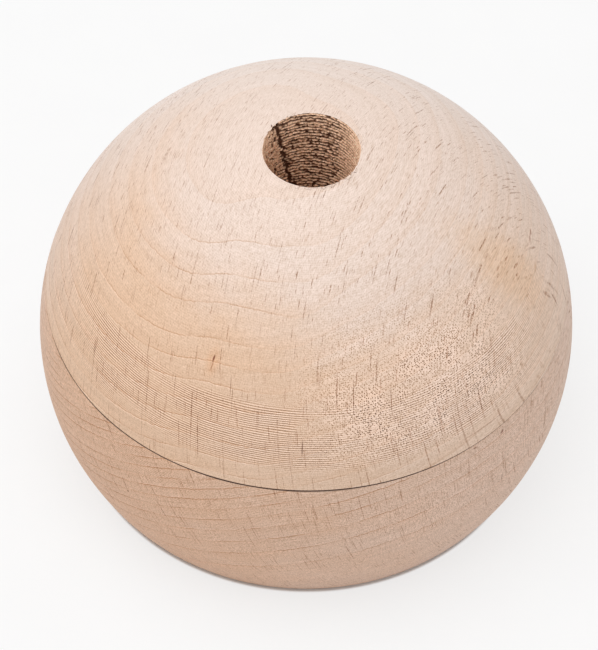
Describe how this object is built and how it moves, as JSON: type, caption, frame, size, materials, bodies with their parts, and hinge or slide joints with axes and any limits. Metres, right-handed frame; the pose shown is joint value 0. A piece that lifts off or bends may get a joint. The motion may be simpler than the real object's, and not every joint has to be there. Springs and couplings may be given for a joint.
{
  "type": "wooden climbing hold",
  "caption": "Ball-shaped wooden climbing hold, turned from boards glued face to face, with a flat back and a deep counterbored hole for the wall bolt.",
  "frame": {"origin": "centre of the flat back, on the bolt's axis", "axes": "+Z along the bolt's axis, away from the wall and out of the counterbore's mouth; +X and +Y lie in the flat back, and the part is round about Z"},
  "size_m": [0.125, 0.125, 0.095],
  "materials": {
    "outer_beech": "matte",
    "wall_beech": "matte"
  },
  "bodies": {
    "root": {"outer_block": "outer_beech", "wall_block": "wall_beech"}
  },
  "joints": []
}
